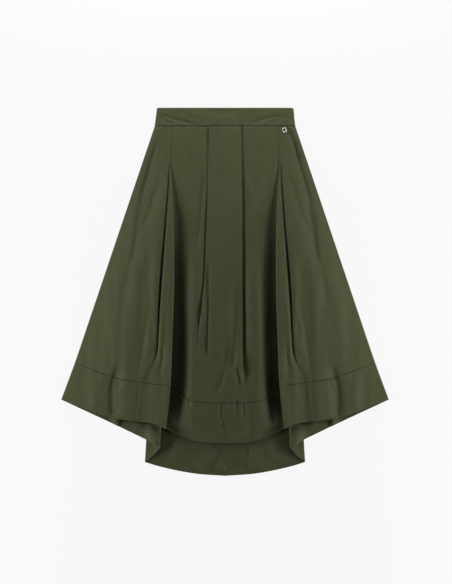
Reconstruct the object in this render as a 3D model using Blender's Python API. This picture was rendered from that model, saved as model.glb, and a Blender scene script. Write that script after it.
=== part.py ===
"""A pleated, flared skirt with a longer back, laid flat on its back.

The frame is in metres: +Z up from the surface that the skirt lies on, +Y towards the waist, +X towards the wearer's
left side. The sizes below are in millimetres. "out" is a distance from the centre line and "down" is a distance from
the waistband's top edge, so one table serves the left and the right half of the skirt. "z" is a height above the
surface, at the middle of the cloth. Each half of the front and of the back is a section, a line of (out, z) points
from the side seam to the centre line, which changes with the share of the way from the waist seam to the hem.
"""

import math
from bisect import bisect_right
from types import SimpleNamespace

import bmesh
import bpy

MM = 0.001

# Driving sizes.
LENGTH = 919.5  # waistband's top edge to the back hem, on the centre line
WAISTBAND_DEPTH = 45.5
WAIST_HALF_WIDTH = 170.0
WAIST_SEAM_HALF_WIDTH = 176.0
CLOTH = 1.2  # wall of the skirt's cloth
BAND_CLOTH = 2.4  # wall of the folded, interfaced waistband
SEAM_GAP = 0.3
WAIST_SEAM = WAISTBAND_DEPTH + SEAM_GAP


def table(names, *rows):
    """A table with a named column for each size and a row for each share of the length."""
    return dict(zip(names.split(), zip(*rows)))


SIDE = table(
    "share   out  front_z",
    (0.00, 176.0, 6.0),
    (0.13, 206.0, 5.0),
    (0.31, 247.5, 4.5),
    (0.50, 291.2, 4.5),
    (0.70, 337.3, 4.5),
    (0.86, 374.3, 4.5),
    (1.00, 409.5, 4.5),
)
# The front's side flap: a broad fold that rises from the side to an edge that stands over the centre of the skirt.
FLAP = table(
    "share edge_out edge_z edge_round rise_power",
    (0.00, 131.0, 11.6, 1.0, 0.60),
    (0.13, 135.0, 15.0, 1.5, 0.70),
    (0.31, 127.5, 30.0, 3.2, 0.90),
    (0.50, 126.5, 40.0, 4.2, 1.00),
    (0.70, 131.3, 42.0, 4.6, 1.00),
    (0.86, 136.5, 38.0, 4.6, 1.00),
    (1.00, 148.0, 31.0, 4.0, 1.00),
)
# The sharp crease beside the flap's edge.
CREASE = table(
    "share   out half_width deep",
    (0.00, 139.0, 2.5, 0.0),
    (0.13, 142.0, 2.5, 1.0),
    (0.31, 149.0, 3.0, 6.0),
    (0.50, 159.0, 3.2, 11.0),
    (0.70, 166.6, 3.4, 9.0),
    (0.86, 173.0, 4.0, 1.5),
    (1.00, 182.0, 5.0, 0.0),
)
# The fold under the flap, where its cloth turns back towards the centre.
INNER_FOLD = table(
    "share   out     z  round",
    (0.00, 152.0, 7.6, 1.0),
    (0.13, 158.0, 8.0, 1.1),
    (0.31, 160.0, 9.0, 1.3),
    (0.50, 162.0, 9.5, 1.3),
    (0.70, 168.0, 10.0, 1.3),
    (0.86, 176.0, 11.0, 1.3),
    (1.00, 185.0, 12.5, 1.3),
)
# The front's centre, between the flaps: a channel beside each flap, then a ramp up to a raised panel.
CENTRE = table(
    "share floor_z shoulder_out ramp panel_z middle_z dip",
    (0.00, 7.6, 100.0, 12.0, 7.6, 11.6, 0.0),
    (0.13, 8.0, 104.0, 18.0, 11.0, 15.3, 0.5),
    (0.31, 8.5, 107.0, 13.0, 26.0, 29.5, 2.5),
    (0.50, 8.5, 101.0, 12.0, 34.0, 36.8, 4.0),
    (0.70, 8.5, 98.0, 13.0, 35.0, 37.5, 3.5),
    (0.86, 8.0, 100.0, 18.0, 26.0, 27.0, 1.0),
    (1.00, 8.0, 96.0, 26.0, 10.0, 10.5, 0.0),
)
# The box pleat at the centre front. A fold turns by 180 degrees where it is shut and by 0 where it has opened out.
PLEAT_RIGHT = table(
    "share  edge under  turn round",
    (0.00, 39.5, 30.0, 180.0, 1.0),
    (0.13, 40.5, 26.0, 180.0, 1.1),
    (0.31, 45.0, 20.0, 180.0, 1.3),
    (0.50, 54.5, 10.0, 178.0, 1.4),
    (0.70, 70.0, 1.5, 100.0, 1.4),
    (0.86, 80.0, 0.5, 0.0, 1.4),
    (1.00, 80.0, 0.5, 0.0, 1.4),
)
PLEAT_LEFT = table(
    "share  edge under  turn round",
    (0.00, 41.5, 30.0, 180.0, 1.0),
    (0.13, 43.5, 27.0, 180.0, 1.1),
    (0.31, 45.0, 22.0, 180.0, 1.3),
    (0.50, 46.0, 16.0, 180.0, 1.4),
    (0.70, 46.0, 6.0, 172.0, 1.4),
    (0.86, 44.5, 0.5, 20.0, 1.4),
    (1.00, 44.0, 0.5, 0.0, 1.4),
)
# The back: each side is folded over the middle, which lies on the surface. Rise is the width that climbs the fold.
BACK = table(
    "share edge_out edge_z edge_round inner_out inner_round rise",
    (0.00, 125.0, 4.6, 1.0, 150.0, 1.0, 16.0),
    (0.13, 130.0, 5.4, 1.2, 156.0, 1.2, 22.0),
    (0.31, 136.0, 5.4, 1.2, 165.0, 1.2, 26.0),
    (0.50, 143.0, 5.4, 1.2, 175.0, 1.2, 30.0),
    (0.70, 151.0, 5.4, 1.2, 185.0, 1.2, 30.0),
    (0.86, 157.5, 5.4, 1.2, 193.0, 1.2, 30.0),
    (1.00, 162.6, 9.0, 2.6, 200.0, 1.2, 30.0),
)

# The hem of each layer, from its outer end to its inner end: out, down, and the depth of the hem band there.
HEM_FLAP = (
    (409.5, 729.0, 94.0),
    (307.0, 767.0, 97.0),
    (268.0, 777.0, 98.0),
    (186.0, 787.0, 98.0),
    (160.0, 795.0, 104.0),
    (148.0, 802.0, 108.0),
)
HEM_UNDER_FLAP = ((148.0, 802.0, 108.0), (185.0, 783.0, 102.0))
HEM_CENTRE = (
    (185.0, 783.0, 102.0),
    (128.0, 812.0, 97.0),
    (112.5, 819.0, 96.0),
    (87.5, 828.5, 98.0),
    (50.0, 836.0, 100.5),
    (0.0, 838.0, 101.5),
)
HEM_BACK_SIDE = ((409.5, 729.0, 94.0), (198.0, 828.0, 97.0), (162.6, 848.0, 99.0))
HEM_BACK_UNDER = ((162.6, 848.0, 99.0), (178.0, 867.5, 99.0), (200.0, 885.0, 100.0))
HEM_BACK_MIDDLE = (
    (200.0, 885.0, 100.0),
    (176.8, 892.5, 100.0),
    (148.0, 900.0, 100.0),
    (113.6, 907.5, 100.0),
    (65.8, 915.0, 100.0),
    (0.0, 919.5, 100.0),
)

# The plain metal plate on the wearer's left flap.
PLATE_OUT, PLATE_DOWN = 148.0, 56.5
PLATE_WIDTH, PLATE_HEIGHT, PLATE_THICK = 13.0, 15.0, 1.0
PLATE_TURN = math.radians(10)  # its top towards the side
PLATE_CELLS = 5  # squares each way, of which the middle one is the hole
PLATE_CORNER = 0.88  # how far out a corner lies, which rounds it

# The concealed zip in the wearer's left side seam.
ZIP_DOWNS = (44.0, 47.3, 115.0, 190.0)  # the strip's bends and its lower end
ZIP_THICK, ZIP_WIDTH = 1.2, 2.1
ZIP_INSET = 1.5  # from the cloth's inner face
ZIP_NOTCH = 0.35  # share of the waistband's side turn that is open at its top edge, for the slider
SLIDER_DOWN = 4.0  # the ring's centre, below the waistband's top edge
SLIDER_THICK, SLIDER_ABOVE, SLIDER_BELOW = 2.4, 1.5, 6.0  # the body, about the height of the ring's centre
NECK_WIDTH, NECK_SUNK = 1.8, 0.5  # sunk is its reach into the body and the ring
RING_INNER, RING_OUTER, RING_THICK = 0.8, 1.5, 0.8
RING_STEPS = 16
PULL_STAND_OFF = 0.75  # the hinge, from the waistband's outer face
PULL_THICK = 0.6
PULL_WINDOW = 0.8  # half width of the window that the ring passes through
# Along the tab from its hinge, and its half width there. The first two rows bound the crossbar, the next the window.
PULL_ROWS = ((-0.3, 1.3), (0.3, 1.3), (2.3, 1.4), (6.0, 2.0), (12.0, 2.2), (15.5, 1.8), (17.0, 1.1))

WAISTBAND_ROWS, WAISTBAND_STEPS = 3, 14
WAISTBAND_RISE = 0.2  # share of the half width in which the front waistband climbs from the side
PANEL_ROWS = 12
BAND_ROWS = 3
SIDE_TURN_ANGLES = (90, 84, 60, 30, 0)  # the quarter turn from a side seam inwards
FOLD_STEPS = 4  # segments in the half turn of a fold

OLIVE = (0.070, 0.080, 0.039, 1.0)
PALE_METAL = (0.78, 0.74, 0.66, 1.0)


def at(columns, share):
    """A table's sizes at a share of the length, each on a smooth curve through its rows."""
    shares = columns["share"]
    last = len(shares) - 1
    i = min(last - 1, max(0, bisect_right(shares, share) - 1))
    span = shares[i + 1] - shares[i]
    t = (share - shares[i]) / span

    def slope(column, k):
        before, after = max(0, k - 1), min(last, k + 1)
        return (column[after] - column[before]) / (shares[after] - shares[before])

    def value(column):
        start, end = slope(column, i), slope(column, i + 1)
        blend = column[i] * (1 + 2 * t) * (1 - t) ** 2 + column[i + 1] * t * t * (3 - 2 * t)
        return blend + span * (start * t * (1 - t) ** 2 - end * t * t * (1 - t))

    return SimpleNamespace(**{name: value(column) for name, column in columns.items()})


def along(curve, out):
    """(down, band depth) of a hem curve at a distance from the centre line."""
    rows = sorted(curve)
    out = min(max(out, rows[0][0]), rows[-1][0])
    for low, high in zip(rows, rows[1:]):
        if out <= high[0]:
            t = (out - low[0]) / (high[0] - low[0])
            return low[1] + t * (high[1] - low[1]), low[2] + t * (high[2] - low[2])


def ease(start, end):
    """A height that leaves start and meets end without a corner."""
    return lambda t: start + (end - start) * t * t * (3 - 2 * t)


def crown(start, end, power=1.0, rise=1.0):
    """A height that climbs at once from start and levels out at end, after a share rise of the way."""
    return lambda t: start + (end - start) * math.sin(math.pi / 2 * min(1.0, t / rise)) ** power


def leg(start, end, steps, height=None):
    """Points after start up to and with end. Height gives z from the share of the way, or it runs evenly."""
    points = []
    for k in range(1, steps + 1):
        t = k / steps
        z = height(t) if height else start[1] + t * (end[1] - start[1])
        points.append((start[0] + t * (end[0] - start[0]), z))
    return points


def fold(tip, z_from, z_to, towards, reach):
    """A half turn about a fold line at tip. Towards is +1 if the fold points outwards and -1 if inwards."""
    middle, half = (z_from + z_to) / 2, (z_from - z_to) / 2
    points = []
    for k in range(FOLD_STEPS + 1):
        a = math.pi * k / FOLD_STEPS
        points.append((tip - towards * reach * (1 - math.sin(a)), middle + half * math.cos(a)))
    return points


def pleat_folds(pleat, low_z):
    """A fold under and a fold back, from the outside inwards, with the upper fold's line at the pleat's edge."""
    step = 2 * pleat.round * math.sin(math.pi / 2 / FOLD_STEPS)
    bend = math.radians(min(180.0, max(0.0, pleat.turn))) / FOLD_STEPS
    out, z, heading = 0.0, 0.0, 0.0
    points = [(out, z)]
    for way in (1, -1):
        for _ in range(FOLD_STEPS):
            heading += way * bend / 2
            out, z = out - step * math.cos(heading), z + step * math.sin(heading)
            points.append((out, z))
            heading += way * bend / 2
        if way > 0:
            length = max(0.5, pleat.under)
            out, z = out - length * math.cos(heading), z + length * math.sin(heading)
            points.append((out, z))
    shift = pleat.edge - max(point[0] for point in points[FOLD_STEPS + 1:])
    return [(point[0] + shift, point[1] + low_z) for point in points]


def side_turn(out, z, z_seam, notch=0.0):
    """The quarter turn from the side seam to a flat layer at height z. Notch is the share that is left open."""
    radius = abs(z - z_seam)
    sign = 1 if z > z_seam else -1
    points = []
    for angle in SIDE_TURN_ANGLES:
        a = math.radians(angle * (1 - notch))
        points.append((out - radius * (1 - math.sin(a)), z_seam + sign * radius * math.cos(a)))
    return points


def flap_top(start, side_z, flap, crease):
    """The flap's upper side, from the side turn over the crease to just before the flap's edge."""
    lip_z = flap.edge_z - 0.06 * (flap.edge_z - side_z)
    wide = crease.half_width
    points = leg(start, (crease.out + 2 * wide, lip_z), 6, crown(side_z, lip_z, flap.rise_power))
    points.append((crease.out + wide, lip_z - 0.25 * crease.deep))
    points.append((crease.out, lip_z - crease.deep))
    points.append((crease.out - wide, lip_z - 0.25 * crease.deep))
    points.append(((crease.out - wide + flap.edge_out) / 2 + 1.5, flap.edge_z - 0.3))
    return points


def centre_panel(start, flap_edge, centre, pleat):
    """The channel beside the flap, the ramp, and the raised panel with its half of the box pleat."""
    points = leg(start, (flap_edge - 2.0, centre.floor_z), 3, ease(start[1], centre.floor_z))
    foot_out = min(centre.shoulder_out + centre.ramp, flap_edge - 4.0)
    points += leg(points[-1], (foot_out, centre.floor_z), 1)
    shoulder = (centre.shoulder_out, centre.panel_z)
    points += leg(points[-1], shoulder, 4, ease(centre.floor_z, centre.panel_z))
    folds = pleat_folds(pleat, centre.panel_z - centre.dip)
    valley = (max(out for out, _ in folds) + 5.0, folds[0][1] + 0.1)
    brow_out = min(valley[0] + 16.0, (valley[0] + centre.shoulder_out) / 2)
    points += leg(points[-1], (brow_out, centre.panel_z), 1)
    points += leg(points[-1], valley, 3, ease(centre.panel_z, valley[1]))
    points += folds
    points += leg(points[-1], (0.0, centre.middle_z), 3, crown(points[-1][1], centre.middle_z))
    return points


def front_half(share, pleat_table):
    """The front's section from a side seam to the centre line: its points, and the hem that each point ends on."""
    side, flap, crease, inner = at(SIDE, share), at(FLAP, share), at(CREASE, share), at(INNER_FOLD, share)
    seam_z = (side.front_z + CLOTH / 2) / 2 + SEAM_GAP / 2
    over = fold(flap.edge_out, flap.edge_z, flap.edge_z - 2 * flap.edge_round, -1, min(flap.edge_round, 3.0))
    back = fold(inner.out, inner.z + 2 * inner.round, inner.z, 1, inner.round)
    half_turn = FOLD_STEPS // 2 + 1

    top = side_turn(side.out - CLOTH / 2, side.front_z, seam_z)
    top += flap_top(top[-1], side.front_z, flap, crease) + over[:half_turn]
    under = over[half_turn:] + leg(over[-1], back[0], 2) + back[1:half_turn]
    middle = back[half_turn:] + centre_panel(back[-1], flap.edge_out, at(CENTRE, share), at(pleat_table, share))
    hems = [HEM_FLAP] * len(top) + [HEM_UNDER_FLAP] * len(under) + [HEM_CENTRE] * len(middle)
    return top + under + middle, hems


def back_half(share, _pleat_table=None):
    """The back's section from a side seam to the centre line, as front_half gives the front's."""
    side, back = at(SIDE, share), at(BACK, share)
    flat_z = CLOTH / 2
    flat_fold_z = flat_z + 4 * back.inner_round
    step_z = max(flat_fold_z, back.edge_z - 0.8 * (back.edge_z - 5.4))
    over = fold(back.edge_out, back.edge_z, back.edge_z - 2 * back.edge_round, -1, back.edge_round)
    under_fold = fold(back.inner_out, flat_z + 2 * back.inner_round, flat_z, 1, back.inner_round)
    half_turn = FOLD_STEPS // 2 + 1

    lower = side_turn(side.out - CLOTH / 2, flat_z, (side.front_z + flat_z) / 2 - SEAM_GAP / 2)
    foot_out = min(back.inner_out + back.rise, side.out - 8.6)
    lower += leg(lower[-1], (foot_out, flat_z), 3)
    lower += leg(lower[-1], (back.inner_out + 1.0, step_z), 3, ease(flat_z, step_z))
    lower += leg(lower[-1], over[0], 3, ease(step_z, back.edge_z)) + over[1:half_turn]
    under = over[half_turn:] + leg(over[-1], under_fold[0], 2) + under_fold[1:half_turn]
    middle = under_fold[half_turn:] + leg(under_fold[-1], (0.0, flat_z), 5)
    hems = [HEM_BACK_SIDE] * len(lower) + [HEM_BACK_UNDER] * len(under) + [HEM_BACK_MIDDLE] * len(middle)
    return lower + under + middle, hems


def place(side, out, down, z):
    return (side * out * MM, (LENGTH / 2 - down) * MM, z * MM)


def columns(half):
    """Every column of a panel from the wearer's right side seam to the left one.

    Each is its side, pleat table and place in the half section, then its hem, band depth and gap at the band's seam.
    The gap runs down the column, so it is wider where the seam is steep.
    """
    found = []
    for side, pleat_table in ((-1, PLEAT_RIGHT), (1, PLEAT_LEFT)):
        points, hems = half(1.0, pleat_table)
        ends = [along(hem, point[0]) for point, hem in zip(points, hems)]
        seams = [hem - band for hem, band in ends]
        rows = []
        for k, (hem, band) in enumerate(ends):
            before, after = max(0, k - 1), min(len(ends) - 1, k + 1)
            steepness = abs(seams[before] - seams[after]) / max(math.dist(points[before], points[after]), 0.1)
            rows.append((side, pleat_table, k, hem, band, SEAM_GAP * math.hypot(1, steepness)))
        found += rows if side < 0 else rows[-2::-1]
    return found


def square_to(points, k):
    """The unit vector square to a section at its point k, in the section's plane."""
    before, after = points[max(0, k - 1)], points[min(len(points) - 1, k + 1)]
    out, z = after[0] - before[0], after[1] - before[1]
    return z / math.hypot(out, z), -out / math.hypot(out, z)


def quads(bm, one, other):
    """A strip of faces between two lines of vertices."""
    for k in range(len(one) - 1):
        bm.faces.new((one[k], one[k + 1], other[k + 1], other[k]))


def wall(name, rows, material, thickness):
    """A closed wall about rows of (side, out, down, z, square to the wall), all of one length."""
    bm = bmesh.new()
    grids = []
    for half in (-thickness / 2, thickness / 2):
        grid = []
        for row in rows:
            line = []
            for side, out, down, z, square in row:
                line.append(bm.verts.new(place(side, out + half * square[0], down, z + half * square[1])))
            grid.append(line)
        grids.append(grid)
    lower, upper = grids
    quads(bm, lower[0], upper[0])
    quads(bm, lower[-1], upper[-1])
    for column in (0, -1):
        quads(bm, [row[column] for row in lower], [row[column] for row in upper])
    for grid in grids:
        for one, other in zip(grid, grid[1:]):
            quads(bm, one, other)
    bmesh.ops.recalc_face_normals(bm, faces=bm.faces)
    return finish(name, bm, material)


def finish(name, bm, material, thickness=0.0):
    """The mesh in bm as an object, thickened evenly to both sides where it is a sheet."""
    mesh = bpy.data.meshes.new(name)
    bm.to_mesh(mesh)
    bm.free()
    mesh.materials.append(material)
    mesh.shade_smooth()
    mesh.set_sharp_from_angle(angle=math.radians(60))
    obj = bpy.data.objects.new(name, mesh)
    bpy.context.scene.collection.objects.link(obj)
    if thickness:
        solidify = obj.modifiers.new("wall", "SOLIDIFY")
        solidify.thickness = thickness * MM
        solidify.offset = 0.0
    return obj


def cloth_wall(name, half, row_shares, material):
    """The cloth of one panel or band, through the half section of each column at each row."""
    cols = columns(half)
    rows = [[] for _ in row_shares(*cols[0][3:])]
    for side, pleat_table, k, hem, band, gap in cols:
        for row, share in zip(rows, row_shares(hem, band, gap)):
            points = half(share, pleat_table)[0]
            out, z = points[k]
            square = (0.0, 1.0) if out == 0.0 else square_to(points, k)
            row.append((side, out, WAIST_SEAM + share * (hem - WAIST_SEAM), z, square))
    return wall(name, rows, material, CLOTH)


def panel_rows(hem, band, gap):
    """Shares from the waist seam to just above the hem band's seam."""
    last = (hem - band - gap / 2 - WAIST_SEAM) / (hem - WAIST_SEAM)
    return [last * k / PANEL_ROWS for k in range(PANEL_ROWS + 1)]


def band_rows(hem, band, gap):
    """Shares from just below the hem band's seam to the hem."""
    first = (hem - band + gap / 2 - WAIST_SEAM) / (hem - WAIST_SEAM)
    return [first + (1 - first) * k / BAND_ROWS for k in range(BAND_ROWS + 1)]


def waistband_heights(front):
    """The side's z, the side seam's z and the middle's z of the front or the back half of the waistband."""
    flat_z = BAND_CLOTH / 2
    side_z = at(SIDE, 0.0).front_z + (BAND_CLOTH - CLOTH) / 2
    seam = (side_z + flat_z) / 2
    if front:
        return side_z, seam + SEAM_GAP / 2, at(FLAP, 0.0).edge_z - 0.4
    return flat_z, seam - SEAM_GAP / 2, flat_z


def waist_half_width(down):
    return WAIST_HALF_WIDTH + (WAIST_SEAM_HALF_WIDTH - WAIST_HALF_WIDTH) * down / WAISTBAND_DEPTH


def waistband(name, front, material):
    """One half of the waistband, flat, with a quarter turn to each side seam and a notch for the zip's slider."""
    side_z, seam, middle_z = waistband_heights(front)
    rows = []
    for j in range(WAISTBAND_ROWS + 1):
        down = WAISTBAND_DEPTH * j / WAISTBAND_ROWS
        row = []
        for side in (-1, 1):
            notch = ZIP_NOTCH if side > 0 and j == 0 else 0.0
            points = side_turn(waist_half_width(down) - BAND_CLOTH / 2, side_z, seam, notch)
            height = crown(side_z, middle_z, at(FLAP, 0.0).rise_power, WAISTBAND_RISE)
            points += leg(points[-1], (0.0, middle_z), WAISTBAND_STEPS, height)
            half = [(side, out, down, z, square_to(points, k)) for k, (out, z) in enumerate(points)]
            row += half if side < 0 else half[-2::-1]
        rows.append(row)
    return wall(name, rows, material, BAND_CLOTH)


def flap_height(out, down):
    """The z of the front flap's cloth near the waist."""
    points = front_half((down - WAIST_SEAM) / (along(HEM_FLAP, out)[0] - WAIST_SEAM), PLEAT_LEFT)[0]
    for outer, inner in zip(points, points[1:]):
        if inner[0] <= out <= outer[0]:
            return outer[1] + (inner[1] - outer[1]) * (outer[0] - out) / (outer[0] - inner[0])


def metal_plate(name, material):
    """A small pierced plate with rounded corners, bent to the wearer's left flap."""
    bm = bmesh.new()
    bmesh.ops.create_grid(bm, x_segments=PLATE_CELLS, y_segments=PLATE_CELLS, size=1)
    bm.faces.ensure_lookup_table()
    bmesh.ops.delete(bm, geom=[bm.faces[PLATE_CELLS ** 2 // 2]], context="FACES_ONLY")
    for vertex in bm.verts:
        corner = PLATE_CORNER if abs(vertex.co.x) > 0.9 and abs(vertex.co.y) > 0.9 else 1.0
        right, up = corner * vertex.co.x * PLATE_WIDTH / 2, corner * vertex.co.y * PLATE_HEIGHT / 2
        out = PLATE_OUT + right * math.cos(PLATE_TURN) - up * math.sin(PLATE_TURN)
        down = PLATE_DOWN - right * math.sin(PLATE_TURN) - up * math.cos(PLATE_TURN)
        z = flap_height(out, down) + CLOTH / 2 + SEAM_GAP + PLATE_THICK / 2
        vertex.co = place(1, out, down, z)
    return finish(name, bm, material, PLATE_THICK)


def zip_strip(name, material):
    """The closed coil and its tapes, a bar that follows the inside of the wearer's left side seam."""
    bm = bmesh.new()
    rings = []
    for down in (SLIDER_DOWN + SLIDER_BELOW + SEAM_GAP, *ZIP_DOWNS):
        if down < WAISTBAND_DEPTH:
            face, z = waist_half_width(down) - BAND_CLOTH, pull_axis()[2]
        else:
            side = at(SIDE, (down - WAIST_SEAM) / (HEM_FLAP[0][1] - WAIST_SEAM))
            face, z = side.out - CLOTH, (side.front_z + CLOTH / 2) / 2
        outer, inner = face - ZIP_INSET, face - ZIP_INSET - ZIP_THICK
        corners = ((inner, -1), (outer, -1), (outer, 1), (inner, 1))
        rings.append([bm.verts.new(place(1, out, down, z + way * ZIP_WIDTH / 2)) for out, way in corners])
    for upper, lower in zip(rings, rings[1:]):
        quads(bm, upper + upper[:1], lower + lower[:1])
    bm.faces.new(rings[0])
    bm.faces.new(rings[-1])
    bmesh.ops.recalc_face_normals(bm, faces=bm.faces)
    return finish(name, bm, material)


def pull_axis():
    """The place of the pull tab's hinge, just outside the waistband, as (out, down, z)."""
    seam = (waistband_heights(True)[1] + waistband_heights(False)[1]) / 2
    return waist_half_width(SLIDER_DOWN) + PULL_STAND_OFF, SLIDER_DOWN, seam


def box(name, low, high, material):
    """A box between two corners that are given from the pull tab's hinge, in millimetres."""
    bm = bmesh.new()
    for vertex in bmesh.ops.create_cube(bm, size=1)["verts"]:
        vertex.co = [MM * (a + (b - a) * (c + 0.5)) for a, b, c in zip(low, high, vertex.co)]
    obj = finish(name, bm, material)
    obj.location = place(1, *pull_axis())
    return obj


def slider_ring(name, material):
    """The ring that the pull tab hangs in, about the hinge."""
    bm = bmesh.new()
    profile = []
    for radius, way in ((RING_INNER, -1), (RING_OUTER, -1), (RING_OUTER, 1), (RING_INNER, 1)):
        profile.append(bm.verts.new((radius * MM, 0, way * RING_THICK / 2 * MM)))
    edges = [bm.edges.new((profile[k - 1], profile[k])) for k in range(4)]
    bmesh.ops.spin(bm, geom=profile + edges, cent=(0, 0, 0), axis=(0, 0, 1), angle=2 * math.pi,
                   steps=RING_STEPS, use_merge=True)
    bmesh.ops.recalc_face_normals(bm, faces=bm.faces)
    obj = finish(name, bm, material)
    obj.location = place(1, *pull_axis())
    return obj


def zip_slider(name, material):
    """The slider's body inside the seam and its ring outside, joined by a neck through the waistband's notch."""
    outer = -PULL_STAND_OFF - BAND_CLOTH - ZIP_INSET
    half = ZIP_WIDTH / 2
    body = box(name, (outer - SLIDER_THICK, -SLIDER_BELOW, -half), (outer, SLIDER_ABOVE, half), material)
    neck_low = (outer - NECK_SUNK, -NECK_WIDTH / 2, -RING_THICK / 2)
    neck_high = (-RING_OUTER + NECK_SUNK, NECK_WIDTH / 2, RING_THICK / 2)
    for piece in (box(name + "_neck", neck_low, neck_high, material), slider_ring(name + "_ring", material)):
        piece.hide_render = True
        piece.display_type = "WIRE"
        union = body.modifiers.new("joined", "BOOLEAN")
        union.operation = "UNION"
        union.object = piece
    return body


def pull_tab(name, material):
    """The pull tab, with its origin on its hinge. Its crossbar lies in the slider's ring."""
    bm = bmesh.new()
    rows = len(PULL_ROWS) - 1
    bmesh.ops.create_grid(bm, x_segments=3, y_segments=rows, size=1)
    bm.verts.ensure_lookup_table()
    bm.faces.ensure_lookup_table()
    for j, (from_hinge, half_width) in enumerate(reversed(PULL_ROWS)):
        for i, z in enumerate((-half_width, -PULL_WINDOW, PULL_WINDOW, half_width)):
            bm.verts[4 * j + i].co = (0, -from_hinge * MM, z * MM)
    window = bm.faces[3 * (rows - 2) + 1]
    bmesh.ops.delete(bm, geom=[window], context="FACES_ONLY")
    tab = finish(name, bm, material, PULL_THICK)
    tab.location = place(1, *pull_axis())
    tab.rotation_euler.z = math.atan((WAIST_SEAM_HALF_WIDTH - WAIST_HALF_WIDTH) / WAISTBAND_DEPTH)
    return tab


def make_material(name, colour, roughness, metallic=0.0):
    material = bpy.data.materials.new(name)
    material.use_nodes = True
    shader = material.node_tree.nodes["Principled BSDF"]
    shader.inputs["Base Color"].default_value = colour
    shader.inputs["Roughness"].default_value = roughness
    shader.inputs["Metallic"].default_value = metallic
    return material


def main():
    for obj in list(bpy.data.objects):
        bpy.data.objects.remove(obj)
    poplin = make_material("olive_poplin", OLIVE, 0.7)
    cloth_wall("front_panel", front_half, panel_rows, poplin)
    cloth_wall("front_hem_band", front_half, band_rows, poplin)
    cloth_wall("back_panel", back_half, panel_rows, poplin)
    cloth_wall("back_hem_band", back_half, band_rows, poplin)
    waistband("waistband_front", True, poplin)
    waistband("waistband_back", False, poplin)
    metal_plate("metal_plate", make_material("pale_metal", PALE_METAL, 0.3, 1.0))
    zip_strip("zip_strip", make_material("olive_nylon", OLIVE, 0.5))
    lacquer = make_material("olive_lacquer", OLIVE, 0.35, 0.2)
    zip_slider("zip_slider", lacquer)
    pull_tab("zip_pull", lacquer)


main()
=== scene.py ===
import math
from types import SimpleNamespace

import bmesh
import bpy
import numpy as np
from mathutils import Matrix, Vector, noise


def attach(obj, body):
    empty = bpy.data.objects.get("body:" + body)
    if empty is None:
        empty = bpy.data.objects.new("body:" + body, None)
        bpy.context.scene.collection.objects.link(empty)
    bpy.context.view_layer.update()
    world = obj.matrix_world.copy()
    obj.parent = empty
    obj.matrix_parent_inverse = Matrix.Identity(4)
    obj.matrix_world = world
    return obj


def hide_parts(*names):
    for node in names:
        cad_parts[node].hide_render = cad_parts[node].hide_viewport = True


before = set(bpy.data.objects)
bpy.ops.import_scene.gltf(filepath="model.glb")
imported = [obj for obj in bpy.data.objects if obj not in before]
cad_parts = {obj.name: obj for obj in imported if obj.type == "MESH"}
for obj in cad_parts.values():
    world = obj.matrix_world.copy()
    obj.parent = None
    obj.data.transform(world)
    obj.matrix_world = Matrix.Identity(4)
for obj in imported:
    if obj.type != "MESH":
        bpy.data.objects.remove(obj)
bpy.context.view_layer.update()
print("frame loaded")

# Sizes are in millimetres: "out" from the centre line, "down" from the waistband's top edge
# and "z" up from the floor.
mm = 0.001
skirt = {"length": 919.5, "waistSeam": 46.6, "wall": 0.8, "cell": 4.2, "bandCell": 2.2, "shareSteps": 240}
halfWall = skirt["wall"] / 2
shares = np.linspace(0.0, 1.0, skirt["shareSteps"] + 1)


def entries(names, *rows):
    return [dict(zip(names.split(), row)) for row in rows]


def sizes(names, *rows):
    # a named column for each size, a row for each share of the way from the waist seam to the hem
    return {name: np.array(column, float) for name, column in zip(names.split(), zip(*rows))}


sideLine = sizes(
    "share   out  frontZ",
    (0.00, 176.0, 6.0),
    (0.13, 206.0, 5.0),
    (0.31, 247.5, 4.5),
    (0.50, 291.2, 4.5),
    (0.70, 337.3, 4.5),
    (0.86, 374.3, 4.5),
    (1.00, 409.5, 4.5),
)
flapEdge = sizes(
    "share   out     z round power straight lip",
    (0.00, 131.0, 10.7, 0.45, 0.60, 0.0, 0.06),
    (0.13, 135.0, 13.2, 0.6, 0.70, 0.0, 0.06),
    (0.20, 132.5, 19.5, 1.6, 0.80, 0.1, 0.06),
    (0.31, 128.0, 29.5, 3.0, 0.90, 0.25, 0.06),
    (0.50, 127.0, 40.0, 3.6, 1.00, 0.4, 0.06),
    (0.70, 131.3, 42.0, 3.4, 1.00, 0.5, 0.09),
    (0.86, 136.5, 38.0, 2.8, 1.00, 0.6, 0.27),
    (1.00, 148.0, 24.0, 2.2, 1.00, 0.7, 0.36),
)
flapCrease = sizes(
    "share   out wide deep",
    (0.00, 139.0, 2.5, 0.0),
    (0.12, 138.0, 2.5, 0.0),
    (0.15, 139.5, 2.8, 3.5),
    (0.22, 142.5, 3.0, 7.5),
    (0.31, 147.5, 3.3, 13.0),
    (0.42, 154.0, 4.2, 15.0),
    (0.54, 161.0, 4.8, 17.0),
    (0.63, 165.0, 4.2, 15.0),
    (0.70, 167.0, 3.6, 7.0),
    (0.78, 172.0, 3.8, 1.4),
    (0.86, 198.0, 4.0, 0.2),
    (1.00, 212.0, 5.0, 0.0),
)
innerFold = sizes(
    "share   out     z round",
    (0.00, 152.0, 8.7, 0.4),
    (0.13, 158.0, 9.0, 0.6),
    (0.31, 160.0, 9.0, 1.3),
    (0.50, 162.0, 9.5, 1.3),
    (0.70, 168.0, 10.0, 1.3),
    (0.86, 176.0, 11.0, 1.3),
    (1.00, 185.0, 12.5, 1.3),
)
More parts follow.
